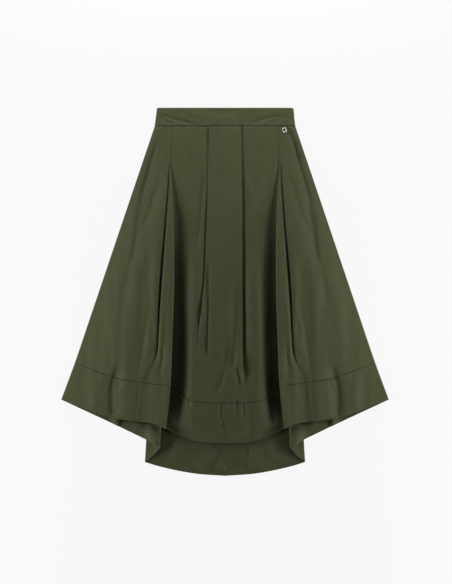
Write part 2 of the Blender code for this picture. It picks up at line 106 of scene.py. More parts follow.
centreFront = sizes(
    "share floorZ shoulderOut ramp panelZ middleZ",
    (0.00, 9.0, 130.02, 0.2, 11.0, 11.3),
    (0.10, 10.6, 133.2, 0.3, 12.9, 14.4),
    (0.17, 13.0, 119.0, 11.0, 16.5, 18.0),
    (0.24, 14.5, 98.0, 25.0, 21.0, 23.5),
    (0.37, 13.0, 68.0, 47.0, 28.5, 31.5),
    (0.50, 10.5, 71.0, 41.0, 34.0, 36.8),
    (0.60, 9.5, 78.0, 33.0, 35.0, 37.5),
    (0.76, 8.0, 79.0, 31.0, 33.0, 35.0),
    (0.89, 6.5, 82.0, 35.0, 27.0, 28.5),
    (0.95, 5.2, 84.0, 44.0, 20.0, 21.0),
    (1.00, 4.4, 86.0, 54.0, 5.2, 5.6),
)
pleatRight = sizes(
    "share  edge under  turn round dip slot gap spread",
    (0.00, 39.5, 30.0, 180.0, 0.6, 0.3, 4.0, 3.0, 0.0),
    (0.035, 40.2, 29.0, 180.0, 0.9, 2.2, 5.0, 3.0, 0.0),
    (0.08, 40.8, 27.5, 180.0, 0.6, 0.3, 4.0, 3.0, 0.0),
    (0.13, 41.5, 26.0, 180.0, 0.7, 0.6, 4.0, 3.0, 0.0),
    (0.23, 43.0, 22.0, 180.0, 1.0, 1.5, 4.0, 3.0, 0.0),
    (0.30, 45.0, 19.0, 180.0, 1.2, 2.5, 5.0, 3.0, 0.0),
    (0.42, 49.0, 14.0, 180.0, 1.2, 2.5, 6.0, 3.0, 0.0),
    (0.49, 52.0, 10.0, 178.0, 1.2, 2.5, 7.0, 3.0, 0.0),
    (0.55, 56.0, 5.0, 160.0, 1.2, 2.2, 8.0, 3.0, 0.0),
    (0.60, 59.5, 1.5, 100.0, 1.2, 1.2, 10.0, 3.0, 0.0),
    (0.66, 63.0, 0.5, 30.0, 1.2, 0.3, 14.0, 3.0, 0.0),
    (0.74, 66.0, 0.5, 0.0, 1.2, 0.0, 14.0, 3.0, 0.0),
    (1.00, 66.0, 0.5, 0.0, 1.2, 0.0, 14.0, 3.0, 0.0),
)
pleatLeft = sizes(
    "share  edge under  turn round dip slot gap spread",
    (0.00, 40.5, 30.0, 180.0, 0.8, 1.6, 6.0, 3.0, 0.0),
    (0.13, 41.6, 27.0, 180.0, 1.0, 3.0, 10.0, 3.0, 0.0),
    (0.20, 42.0, 25.0, 180.0, 1.4, 5.5, 15.0, 3.5, 0.0),
    (0.31, 42.4, 22.0, 180.0, 1.6, 7.0, 17.0, 4.0, 0.0),
    (0.50, 43.0, 16.0, 180.0, 1.8, 9.0, 18.0, 5.5, 2.0),
    (0.68, 43.5, 7.0, 175.0, 1.6, 8.5, 18.0, 5.5, 4.0),
    (0.76, 43.5, 3.0, 130.0, 1.4, 5.0, 18.0, 4.5, 7.0),
    (0.81, 43.2, 0.5, 40.0, 1.4, 1.8, 18.0, 4.0, 7.0),
    (0.85, 43.0, 0.5, 0.0, 1.4, 0.2, 18.0, 3.0, 5.0),
    (0.88, 39.0, 0.5, 0.0, 1.0, 0.0, 14.0, 3.0, 4.0),
    (0.93, 38.0, 0.5, 0.0, 1.2, 0.0, 14.0, 3.0, 1.0),
    (1.00, 38.0, 0.5, 0.0, 1.2, 0.0, 14.0, 3.0, 0.0),
)
backFold = sizes(
    "share edgeOut edgeZ edgeRound innerOut innerRound rise",
    (0.00, 125.0, 4.6, 1.0, 150.0, 1.0, 16.0),
    (0.13, 130.0, 5.4, 1.2, 156.0, 1.2, 22.0),
    (0.31, 136.0, 5.4, 1.2, 165.0, 1.2, 26.0),
    (0.50, 143.0, 5.4, 1.2, 175.0, 1.2, 30.0),
    (0.70, 151.0, 5.4, 1.2, 185.0, 1.2, 30.0),
    (0.86, 157.5, 5.4, 1.2, 193.0, 1.2, 32.0),
    (0.94, 160.4, 10.5, 1.8, 197.0, 1.2, 58.0),
    (0.97, 161.5, 14.5, 2.2, 198.5, 1.2, 74.0),
    (1.00, 162.6, 16.5, 2.6, 200.0, 1.2, 86.0),
)

# Each hem from its inner end outwards: out, down, depth of the hem band. Layers that meet share an end.
flapCorner, flapTurn = (148.0, 802.0, 108.0), (185.0, 783.0, 102.0)
backCorner, backTurn = (162.6, 848.0, 99.0), (200.0, 885.0, 100.0)
sideCorner = (409.5, 729.0, 94.0)
hems = {
    "flap": (flapCorner, (160.0, 795.0, 104.0), (186.0, 787.0, 98.0), (268.0, 777.0, 98.0),
             (307.0, 767.0, 97.0), sideCorner),
    "under": (flapCorner, flapTurn),
    "centre": ((0.0, 838.0, 101.5), (50.0, 836.0, 100.5), (87.5, 828.5, 98.0), (112.5, 819.0, 96.0),
               (128.0, 812.0, 97.0), flapTurn),
    "backSide": (backCorner, (198.0, 828.0, 97.0), sideCorner),
    "backUnder": (backCorner, (178.0, 867.5, 99.0), backTurn),
    "backMiddle": ((0.0, skirt["length"], 100.0), (65.8, 915.0, 100.0), (113.6, 907.5, 100.0),
                   (148.0, 900.0, 100.0), (176.8, 892.5, 100.0), backTurn),
}
turnAngles = (90, 84, 60, 30, 0)  # around the turn at a side seam
foldSteps = 4  # around half a turn of a fold
bendReach = 2.5  # a bend beside a short gap reaches at most this many times the gap


def smooth(xs, ys, x):
    # reads a smooth curve through the points (xs, ys), which doesn't overshoot them
    steps = np.diff(ys) / np.diff(xs)
    middle = (ys[2:] - ys[:-2]) / (xs[2:] - xs[:-2])
    most = 3 * np.minimum(np.abs(steps[1:]), np.abs(steps[:-1])) * (steps[1:] * steps[:-1] > 0)
    slopes = np.concatenate([steps[:1], np.clip(middle, -most, most), steps[-1:]])
    x = np.clip(x, xs[0], xs[-1])
    i = np.clip(np.searchsorted(xs, x, side="right") - 1, 0, len(xs) - 2)
    span = xs[i + 1] - xs[i]
    t = (x - xs[i]) / span
    rise = slopes[i] * t * (1 - t) ** 2 - slopes[i + 1] * t * t * (1 - t)
    return ys[i] * (1 + 2 * t) * (1 - t) ** 2 + ys[i + 1] * t * t * (3 - 2 * t) + span * rise


def at(table):
    # each of a table's sizes at all shares of the length
    curves = {name: smooth(table["share"], column, shares) for name, column in table.items()}
    return SimpleNamespace(**curves)


def ease(start, end):
    # a height that leaves its start and reaches its end level
    return lambda t: start + (end - start) * t * t * (3 - 2 * t)


def crown(start, end, power=1.0, rise=1.0, straight=0.0):
    # a height that climbs at its start and is level at its end, blended with a straight slope
    def height(t):
        curve = math.sin(math.pi / 2 * min(1.0, t / rise)) ** power
        return start + (end - start) * (curve + straight * (t - curve))
    return height


def leg(start, end, steps, height=None):
    # the points after start on the way to end, straight or at the heights of a curve
    line = []
    for k in range(1, steps + 1):
        t = k / steps
        z = height(t) if height else start[1] + t * (end[1] - start[1])
        line.append((start[0] + t * (end[0] - start[0]), z))
    return line


def fold(tip, zFrom, zTo, towards, reach):
    # half a turn around a folded edge, whose tip points to the centre (-1) or away from it (1)
    middle, half = (zFrom + zTo) / 2, (zFrom - zTo) / 2
    turns = [math.pi * k / foldSteps for k in range(foldSteps + 1)]
    return [(tip - towards * reach * (1 - math.sin(a)), middle + half * math.cos(a)) for a in turns]


def pleatFolds(pleat, lowZ):
    # a turn, the cloth hidden under the pleat and a turn back, which open where the turn is under 180
    step = 2 * pleat.round * math.sin(math.pi / 2 / foldSteps)
    bend = np.radians(np.clip(pleat.turn, 0.0, 180.0)) / foldSteps
    out = z = heading = np.zeros_like(step)
    line = [(out, z)]
    for way in (1, -1):
        for _ in range(foldSteps):
            heading = heading + way * bend / 2
            out, z = out - step * np.cos(heading), z + step * np.sin(heading)
            line.append((out, z))
            heading = heading + way * bend / 2
        if way > 0:
            length = np.maximum(0.5, pleat.under)
            out, z = out - length * np.cos(heading), z + length * np.sin(heading)
            line.append((out, z))
    shift = pleat.edge - np.max([out for out, _ in line[foldSteps + 1:]], axis=0)
    return [(out + shift, z + lowZ) for out, z in line]


def sideTurn(out, z, seamZ, notch=0.0):
    # a quarter turn from the side seam to a layer's height, with a share of it left open
    radius, way = np.abs(z - seamZ), np.sign(z - seamZ)
    turns = [np.radians(angle * (1 - notch)) for angle in turnAngles]
    return [(out - radius * (1 - np.sin(a)), seamZ + way * radius * np.cos(a)) for a in turns]


# What stays the same along the length. The crease's profile has shares of its width and of its depth.
frontFolds = {"creaseProfile": ((1.0, 0.12), (0.35, 0.9), (-0.35, 1.0), (-1.0, 0.12)), "edgeReach": 2.2,
              "edgeGap": 1.5, "floorStart": 4.0, "footRoom": 0.78, "shoulderRoom": 0.98, "climbPower": 1.6,
              "slotRoom": 1.5, "slotLift": 0.1, "slotPower": 2.2}
backFolds = {"stepShare": 0.58, "stepStart": 1.0, "sideRoom": 8.6, "climbPower": 1.2}


def frontHalf(pleatTable):
    # the front's cloth from a side seam to the centre line, and the hem that each point ends on
    side, edge, crease, inner = at(sideLine), at(flapEdge), at(flapCrease), at(innerFold)
    centre, pleat = at(centreFront), at(pleatTable)
    reach = np.minimum(edge.round, frontFolds["edgeReach"])
    over = fold(edge.out, edge.z, edge.z - 2 * edge.round, -1, reach)
    back = fold(inner.out, inner.z + 2 * inner.round, inner.z, 1, inner.round)
    half = foldSteps // 2 + 1

    top = sideTurn(side.out - halfWall, side.frontZ, (side.frontZ + halfWall) / 2)
    lipZ = edge.z - edge.lip * (edge.z - side.frontZ)
    rise = crown(side.frontZ, lipZ, edge.power, straight=edge.straight)
    top += leg(top[-1], (crease.out + 2 * crease.wide, lipZ), 6, rise)
    for across, share in frontFolds["creaseProfile"]:
        top.append((crease.out + across * crease.wide, lipZ - share * crease.deep))
    top.append(((crease.out - crease.wide + edge.out) / 2 + frontFolds["edgeGap"], (edge.z + lipZ) / 2))
    top += over[:half]
    drop = over[-1][1] - back[0][1]
    under = over[half:] + leg(over[-1], back[0], 3, lambda t: back[0][1] + drop * (1 - t) ** 2)
    under += back[1:half]
    middle = back[half:]
    floorStart = edge.out + frontFolds["floorStart"]
    middle += leg(back[-1], (floorStart, centre.floorZ), 3, ease(back[-1][1], centre.floorZ))
    shoulder = np.minimum(centre.shoulderOut + pleat.spread, edge.out - frontFolds["shoulderRoom"])
    foot = np.minimum(shoulder + centre.ramp, edge.out - frontFolds["footRoom"])
    middle += leg(middle[-1], (foot, centre.floorZ), 1)
    climb, power = centre.panelZ - centre.floorZ, frontFolds["climbPower"]
    middle += leg(middle[-1], (shoulder, centre.panelZ), 6,
                  lambda t: centre.panelZ - climb * (1 - t) ** power)
    folds = pleatFolds(pleat, centre.panelZ - pleat.dip)
    valley = (np.max([out for out, _ in folds], axis=0) + pleat.gap, folds[0][1] + frontFolds["slotLift"])
    slotOut = np.minimum(valley[0] + pleat.slot, shoulder - frontFolds["slotRoom"])
    middle += leg(middle[-1], (slotOut, centre.panelZ), 2)
    sink = centre.panelZ - valley[1]
    middle += leg(middle[-1], valley, 4, lambda t: centre.panelZ - sink * t ** frontFolds["slotPower"])
    middle += folds
    middle += leg(folds[-1], (0.0, centre.middleZ), 3, crown(folds[-1][1], centre.middleZ))
    return top + under + middle, ["flap"] * len(top) + ["under"] * len(under) + ["centre"] * len(middle)


def backHalf(_pleatTable):
    # the back's cloth in the same way
    side, back = at(sideLine), at(backFold)
    flatZ = halfWall
    stepZ = np.maximum(flatZ + 4 * back.innerRound, backFolds["stepShare"] * back.edgeZ)
    over = fold(back.edgeOut, back.edgeZ, back.edgeZ - 2 * back.edgeRound, -1, back.edgeRound)
    underFold = fold(back.innerOut, flatZ + 2 * back.innerRound, flatZ, 1, back.innerRound)
    half = foldSteps // 2 + 1

    lower = sideTurn(side.out - halfWall, flatZ, (side.frontZ + flatZ) / 2)
    foot = np.minimum(back.innerOut + back.rise, side.out - backFolds["sideRoom"])
    lower += leg(lower[-1], (foot, flatZ), 3)
    stepOut, climb = back.innerOut + backFolds["stepStart"], stepZ - flatZ
    lower += leg(lower[-1], (stepOut, stepZ), 3, lambda t: flatZ + climb * t ** backFolds["climbPower"])
    lower += leg(lower[-1], over[0], 3, crown(stepZ, back.edgeZ)) + over[1:half]
    under = over[half:] + leg(over[-1], underFold[0], 2) + underFold[1:half]
    middle = underFold[half:] + leg(underFold[-1], (0.0, flatZ), 5)
    names = ["backSide"] * len(lower) + ["backUnder"] * len(under) + ["backMiddle"] * len(middle)
    return lower + under + middle, names


def fineColumns(points, layers, cell):
    # more columns on a smooth line through the section's points, each with its layer
    shape = np.broadcast_shapes(*(np.shape(value) for point in points for value in point))
    line = np.array([[np.broadcast_to(value, shape) for value in point] for point in points])
    line = line.transpose(0, 2, 1)
    gaps = np.diff(line, axis=0)
    long = np.maximum(np.linalg.norm(gaps, axis=-1, keepdims=True), 1e-4)
    ways = gaps / long
    between = (ways[:-1] * long[1:] + ways[1:] * long[:-1]) / (long[:-1] + long[1:])
    slopes = np.concatenate([ways[:1], between, ways[-1:]])
    short = bendReach * np.concatenate([long[:1], np.minimum(long[:-1], long[1:]), long[-1:]])
    columns, names = [], []
    for k in range(len(gaps)):
        steps = max(1, math.ceil(float(long[k].max()) / cell))
        start, end = (slopes[j] * np.minimum(long[k], short[j]) for j in (k, k + 1))
        start, end = (bend - ways[k] * (bend * ways[k]).sum(-1, keepdims=True) for bend in (start, end))
        for t in np.arange(steps) / steps:
            columns.append(line[k] + gaps[k] * t + start * t * (1 - t) ** 2 - end * t * t * (1 - t))
            names.append(layers[k])
    return np.array(columns + [line[-1]]), names + [layers[-1]]


def creaseDepth(out, down, crease):
    # how deep a crease is at each point: a trough with a low ridge on each side, fading towards its ends
    path = np.array(crease["path"], float)
    lengths = np.linalg.norm(np.diff(path, axis=0), axis=1)
    starts = np.concatenate([[0.0], np.cumsum(lengths)])
    best, along, beside = np.full(out.shape, np.inf), np.zeros(out.shape), np.zeros(out.shape)
    for k in range(len(lengths)):
        step = (path[k + 1] - path[k]) / lengths[k]
        right, below = out - path[k, 0], down - path[k, 1]
        t = np.clip(right * step[0] + below * step[1], 0.0, lengths[k])
        apart = np.hypot(right - t * step[0], below - t * step[1])
        near = apart < best
        best = np.where(near, apart, best)
        along = np.where(near, starts[k] + t, along)
        beside = np.where(near, right * step[1] - below * step[0], beside)
    wide = np.where(beside > 0, crease["outer"], crease["inner"])
    share = along / starts[-1]
    fade = np.clip(share / crease["fadeIn"], 0, 1) * np.clip((1 - share) / crease["fadeOut"], 0, 1)
    fade = fade * fade * (3 - 2 * fade)
    trough = np.exp(-(best / wide) ** 2)
    ridge = crease["ridge"] * np.exp(-((best - 2.0 * wide) / wide) ** 2)
    return crease["deep"] * fade * (trough - ridge)


# Creases of each layer. Side is -1 on the wearer's right half, 1 on the left half and 0 on both. Deep is
# downwards, inner and outer are the half widths towards and away from the centre, and a path is out, down.
softCreases = entries(
    "layer side deep inner outer ridge fadeIn fadeOut path",
    # from the hip down beside the side seam
    ("flap", 0, 3.2, 19.0, 8.0, 0.0, 0.12, 0.45,
     ((161, 66), (183, 134), (203, 201), (214, 268), (220, 301), (228, 359), (233, 384), (245, 426),
      (262, 500))),
    ("flap", 1, 3.0, 7.0, 4.5, 0.0, 0.12, 0.35,
     ((155, 53), (164, 68), (172, 84), (178, 100), (185, 130), (191, 156))),
    ("flap", 0, 1.8, 5.0, 4.0, 0.0, 0.2, 0.25, ((163, 62), (179, 113), (192, 163), (206, 213), (214, 251))),
    ("flap", 0, 1.0, 6.0, 5.0, 0.0, 0.3, 0.4, ((204, 258), (212, 274), (219, 290))),
    ("flap", 0, 1.1, 6.0, 4.0, 0.0, 0.2, 0.3, ((216, 296), (225, 347), (233, 402))),
    ("flap", 0, 1.4, 14.0, 9.0, 0.0, 0.3, 0.4, ((231, 398), (248, 451), (258, 530))),
    ("flap", 0, 2.6, 13.0, 7.0, 0.0, 0.3, 0.3, ((156, 140), (165, 187), (178, 225), (190, 265), (212, 318))),
    # the long soft trough beside the flap's raised edge
    ("flap", 0, 2.8, 20.0, 17.0, 0.0, 0.3, 0.25,
     ((176, 317), (188, 380), (197, 450), (203, 540), (208, 600), (214, 668))),
    ("flap", 0, 1.1, 4.0, 4.5, 0.0, 0.25, 0.1, ((186, 470), (192, 522), (202, 584), (212, 640), (216, 690))),
    # around the end of the sharp crease
    ("flap", 0, 1.9, 5.0, 5.0, 0.1, 0.3, 0.3, ((155, 575), (155, 625), (160, 655), (166, 670))),
    ("flap", 0, 1.9, 6.0, 6.0, 0.1, 0.1, 0.5, ((167, 590), (169, 612), (171, 650))),
    ("flap", 0, 1.5, 6.0, 7.0, 0.1, 0.3, 0.3, ((183, 440), (183, 520), (181, 570), (174, 600))),
    ("flap", 0, 1.0, 6.0, 6.0, 0.1, 0.3, 0.5, ((174, 600), (184, 618), (190, 640))),
    ("flap", 0, 1.2, 4.0, 4.0, 0.1, 0.3, 0.3, ((148, 668), (165, 675), (182, 679), (201, 675), (216, 664))),
    # through the flap's hem band
    ("flap", 0, 3.8, 17.0, 6.5, 0.0, 0.2, 0.12,
     ((264, 636), (274, 664), (281, 694), (284, 720), (284, 745), (279, 778))),
    ("flap", 0, 0.9, 3.0, 4.0, 0.0, 0.15, 0.1, ((213, 686), (216, 720), (220, 750), (224, 785))),
    ("flap", 0, 0.9, 4.0, 4.0, 0.0, 0.2, 0.5, ((258, 680), (264, 694), (271, 712))),
    ("flap", 0, -1.6, 16.0, 16.0, 0.0, 0.3, 0.3, ((318, 655), (322, 700), (324, 760))),
    ("flap", 0, 1.1, 5.0, 5.0, 0.0, 0.1, 0.4, ((157, 50), (156, 76), (152, 95))),
    # the raised centre, beside and between the pleats
    ("centre", -1, 3.0, 5.0, 7.0, 0.2, 0.2, 0.35, ((52, 150), (54, 200), (60, 260), (68, 330), (72, 390))),
    ("centre", -1, 1.8, 6.0, 7.0, 0.0, 0.1, 0.6, ((63, 520), (68, 575), (75, 630), (80, 680))),
    ("centre", -1, 5.0, 3.0, 12.0, 0.1, 0.35, 0.15, ((41, 345), (41, 440), (42, 530), (42, 600), (41, 640))),
    ("centre", -1, -2.4, 14.0, 14.0, 0.0, 0.25, 0.25,
     ((74, 320), (74, 420), (74, 520), (78, 620), (82, 720))),
    ("centre", 1, 5.4, 17.0, 8.0, 0.0, 0.45, 0.12,
     ((31, 380), (30, 450), (28, 500), (25, 560), (20, 620), (16, 672))),
    ("centre", 1, 3.4, 5.5, 5.5, 0.2, 0.25, 0.3, ((30, 640), (34, 670), (38, 705))),
    ("centre", 1, -3.0, 11.0, 13.0, 0.0, 0.2, 0.2, ((70, 340), (73, 450), (76, 560), (77, 660), (80, 790))),
    ("centre", 1, 2.4, 8.0, 8.0, 0.1, 0.25, 0.4, ((58, 130), (66, 175), (76, 215), (86, 260))),
    ("centre", 1, 2.0, 10.0, 10.0, 0.1, 0.3, 0.3, ((98, 60), (88, 110), (82, 170), (84, 240))),
    ("centre", -1, 2.2, 9.0, 9.0, 0.1, 0.3, 0.3, ((74, 80), (80, 140), (76, 200), (70, 260))),
    ("centre", -1, 1.8, 9.0, 9.0, 0.1, 0.3, 0.3, ((10, 130), (6, 190), (2, 260))),
    ("centre", -1, 3.2, 7.0, 8.0, 0.2, 0.3, 0.3, ((-6, 560), (0, 620), (8, 680), (20, 705), (24, 740))),
    # below the centre's band seam
    ("centre", -1, 2.1, 2.4, 3.2, 0.0, 0.05, 0.3, ((7, 738), (8, 768), (4, 792), (-3, 815), (-8, 836))),
    ("centre", -1, 1.7, 2.2, 2.8, 0.0, 0.1, 0.5, ((12, 742), (13, 765), (9, 788))),
    ("centre", 1, 3.2, 22.0, 6.5, 0.0, 0.45, 0.2, ((61, 733), (65, 752), (67, 790), (64, 836))),
    ("centre", 1, 2.1, 3.0, 2.3, 0.0, 0.1, 0.5, ((30, 732), (30, 748), (29, 770))),
    ("centre", 1, 1.9, 6.0, 2.2, 0.0, 0.1, 0.5, ((47, 736), (48, 752), (46, 782))),
    ("centre", 1, 1.4, 2.2, 2.2, 0.0, 0.1, 0.5, ((14, 735), (14, 744), (13, 756))),
    ("centre", -1, 1.3, 2.4, 2.4, 0.0, 0.1, 0.5, ((89, 726), (89, 738), (87, 750))),
    ("centre", -1, 1.4, 2.4, 2.4, 0.0, 0.1, 0.5, ((72, 730), (71, 743), (70, 760))),
    ("centre", -1, 1.3, 2.4, 2.4, 0.0, 0.1, 0.5, ((56, 733), (56, 744), (55, 757))),
    # the front waistband
    ("waistFront", -1, 1.7, 3.5, 4.5, 0.0, 0.2, 0.3, ((166, 17), (150, 20), (128, 28), (105, 34), (63, 45))),
    ("waistFront", -1, 1.9, 3.5, 3.5, 0.0, 0.25, 0.25, ((168, 19), (158, 25), (146, 35), (130, 44))),
    ("waistFront", -1, 1.0, 5.0, 5.0, 0.0, 0.3, 0.3, ((112, 8), (88, 20), (64, 32))),
    ("waistFront", -1, -1.3, 14.0, 14.0, 0.0, 0.3, 0.3, ((105, 6), (75, 18), (45, 30))),
    ("waistFront", 1, 1.7, 10.0, 10.0, 0.0, 0.3, 0.3, ((-50, 8), (-8, 12), (40, 7))),
    ("waistFront", 1, 1.7, 4.5, 4.0, 0.0, 0.25, 0.3, ((168, 20), (146, 21), (122, 23), (90, 31), (48, 45))),
    ("waistFront", 1, 1.5, 3.5, 3.5, 0.0, 0.3, 0.3, ((168, 24), (146, 27), (124, 33), (104, 42))),
    ("waistFront", 1, 2.2, 2.6, 2.6, 0.0, 0.3, 0.3, ((172, 20), (168, 28), (163, 36))),
    # the back's middle and its folded sides, near the hem
    ("backMiddle", -1, -4.6, 8.0, 24.0, 0.0, 0.3, 0.12,
     ((14, 836), (20, 848), (32, 872), (50, 900), (58, 914))),
    ("backMiddle", -1, -3.4, 16.0, 16.0, 0.0, 0.2, 0.12, ((-12, 836), (-4, 862), (10, 890), (20, 914))),
    ("backMiddle", 1, -4.6, 9.0, 26.0, 0.0, 0.3, 0.12, ((72, 830), (71, 860), (70, 885), (67, 910))),
    ("backMiddle", 1, -3.2, 11.0, 13.0, 0.0, 0.2, 0.2, ((26, 842), (38, 866), (60, 898))),
    ("backMiddle", -1, -2.4, 5.0, 4.0, 0.0, 0.3, 0.3, ((18, 892), (8, 900), (-4, 908))),
    ("backMiddle", -1, -3.2, 13.0, 13.0, 0.0, 0.3, 0.3, ((116, 830), (122, 860), (112, 890))),
    ("backMiddle", 1, -2.8, 15.0, 11.0, 0.0, 0.3, 0.3, ((102, 830), (112, 858), (126, 886))),
    ("backSide", 0, 1.8, 5.0, 5.0, 0.2, 0.3, 0.3, ((174, 845), (186, 838), (198, 832))),
    ("backSide", 0, -4.0, 22.0, 26.0, 0.0, 0.3, 0.2, ((190, 780), (184, 815), (172, 850))),
    ("backSide", 0, -1.6, 14.0, 14.0, 0.0, 0.2, 0.2, ((212, 772), (214, 792), (212, 812))),
    ("backSide", 0, -5.0, 5.5, 14.0, 0.0, 0.2, 0.2, ((267, 756), (270, 774), (265, 797))),
    # long soft folds of the back, which are seen from below
    ("backMiddle", -1, -2.6, 9.0, 12.0, 0.0, 0.15, 0.3, ((58, 60), (64, 220), (78, 420), (86, 640))),
    ("backMiddle", 1, -2.4, 12.0, 9.0, 0.0, 0.15, 0.25, ((44, 60), (46, 260), (38, 470), (40, 700))),
    ("backMiddle", -1, -1.8, 10.0, 10.0, 0.0, 0.3, 0.3, ((8, 300), (14, 480), (10, 700))),
    ("backSide", 0, -1.8, 10.0, 10.0, 0.0, 0.3, 0.3, ((190, 120), (214, 260), (246, 420), (262, 560))),
    ("backSide", 0, -1.5, 9.0, 12.0, 0.0, 0.3, 0.3, ((236, 380), (278, 520), (310, 640))),
)
undulation = entries(
    "deep across along seed",
    (2.4, 42.0, 260.0, 3.7),
    (0.8, 17.0, 120.0, 9.1),
)
pucker = {"deep": 0.9, "pitch": 9.0, "along": 90.0, "seed": 8.2, "reach": 13.0, "aboveShare": 0.45}
seamGroove = {"deep": 2.1, "waistDeep": 0.6, "above": 0.9, "below": 1.5}
loose = {"fromZ": 3.0, "over": 8.0}  # lower cloth rests flat, and it loosens over this height


def clothGrid(half, rowPlan, cell):
    # rows x columns of points from the wearer's right side seam to the left one
    found = []
    for side, pleatTable in ((-1, pleatRight), (1, pleatLeft)):
        columns, names = fineColumns(*half(pleatTable), cell)
        order = range(len(names)) if side < 0 else range(len(names) - 2, -1, -1)
        found += [(side, columns[k], names[k]) for k in order]
    grid = SimpleNamespace(out=[], down=[], z=[], seam=[], side=[], layer=[])
    for side, column, name in found:
        rows = np.array(hems[name])
        hem, band = (smooth(rows[:, 0], rows[:, k], column[-1, 0]) for k in (1, 2))
        down = rowPlan(hem, hem - band)
        share = (down - skirt["waistSeam"]) / (hem - skirt["waistSeam"])
        grid.out.append(np.interp(share, shares, column[:, 0]))
        grid.z.append(np.interp(share, shares, column[:, 1]))
        grid.down.append(down)
        grid.seam.append(np.full(down.shape, hem - band))
        grid.side.append(np.full(down.shape, side))
        grid.layer.append(np.full(down.shape, name))
    for key, value in vars(grid).items():
        setattr(grid, key, np.array(value).T)
    return grid


waist = {"half": 170.0, "lowerHalf": 176.0, "depth": 46.5, "cloth": 2.4, "sideZ": 6.2, "middleZ": 10.6,
         "power": 0.6, "rise": 0.2, "notch": 0.35, "notchDown": 15.2, "seamGap": 0.3, "rows": 22,
         "foldRows": 7}


def waistGrid(front):
    # a strip that goes up the outer face, over its fold and down the inner face
    apart = (waist["cloth"] - skirt["wall"]) / 2
    flatZ = waist["cloth"] / 2
    turn = np.linspace(0.0, math.pi, waist["foldRows"] + 2)[1:-1]
    face = np.linspace(waist["depth"], flatZ, waist["rows"])
    down = np.concatenate([face, flatZ - apart * np.sin(turn), face[::-1]])
    offset = apart * np.concatenate([np.ones(len(face)), np.cos(turn), -np.ones(len(face))])
    seamZ = (waist["sideZ"] + flatZ + (waist["seamGap"] if front else -waist["seamGap"])) / 2
    startZ, endZ = (waist["sideZ"], waist["middleZ"]) if front else (flatZ, flatZ)
    half = waist["half"] + (waist["lowerHalf"] - waist["half"]) * down / waist["depth"]
    found = []
    for side in (-1, 1):
        # the notch leaves room for the zip's slider
        notch = waist["notch"] * np.clip(1 - down / waist["notchDown"], 0, 1) if side > 0 else 0.0
        points = sideTurn(half - flatZ, startZ, seamZ, notch)
        points += leg(points[-1], (0.0, endZ), 12, crown(startZ, endZ, waist["power"], waist["rise"]))
        line = fineColumns(points, ["waist"] * len(points), skirt["cell"])[0]
        found.append(line * (side, 1.0))
    line = np.concatenate([found[0], found[1][-2::-1]])
    run = np.gradient(line, axis=0)
    outwards = np.stack([-run[..., 1], run[..., 0]], -1) / np.linalg.norm(run, axis=-1, keepdims=True)
    line = (line + outwards * offset[:, None] * (1 if front else -1)).transpose(1, 0, 2)
    shape = line.shape[:2]
    return SimpleNamespace(
        out=np.abs(line[..., 0]), down=np.broadcast_to(down[:, None], shape), z=line[..., 1],
        seam=np.full(shape, skirt["waistSeam"]), side=np.where(line[..., 0] < 0, -1, 1),
        layer=np.full(shape, "waistFront" if front else "waistBack"),
    )


def crumple(grid):
    # lowers and raises the laid cloth by its creases, puckers and soft undulation
    lift = np.zeros(grid.z.shape)
    for crease in softCreases:
        on = grid.layer == crease["layer"]
        across = np.where(grid.side == crease["side"], grid.out, -grid.out) if crease["side"] else grid.out
        lift -= np.where(on, creaseDepth(across, grid.down, crease), 0.0)
    x, wave, ripple = grid.side * grid.out, np.zeros(grid.z.shape), np.zeros(grid.z.shape)
    for index in np.ndindex(wave.shape):
        for row in undulation:
            place = (x[index] / row["across"], grid.down[index] / row["along"], row["seed"])
            wave[index] += row["deep"] * noise.noise(place)
        place = (x[index] / pucker["pitch"], grid.seam[index] / pucker["along"], pucker["seed"])
        ripple[index] = noise.noise(place)
    room = np.clip((grid.z - loose["fromZ"]) / loose["over"], 0.0, 1.0)
    lift += wave * room
    for seam, deep in ((grid.seam, seamGroove["deep"]), (skirt["waistSeam"], seamGroove["waistDeep"])):
        apart = grid.down - seam
        reach = pucker["reach"] * np.where(apart > 0, 1.0, pucker["aboveShare"])
        near = np.exp(-np.abs(apart) / reach)
        lift += pucker["deep"] * ripple * near * room
        wide = np.where(apart > 0, seamGroove["below"], seamGroove["above"])
        lift -= deep * np.exp(-(apart / wide) ** 2) * room
    grid.z = np.maximum(grid.z + lift, halfWall)
    return grid


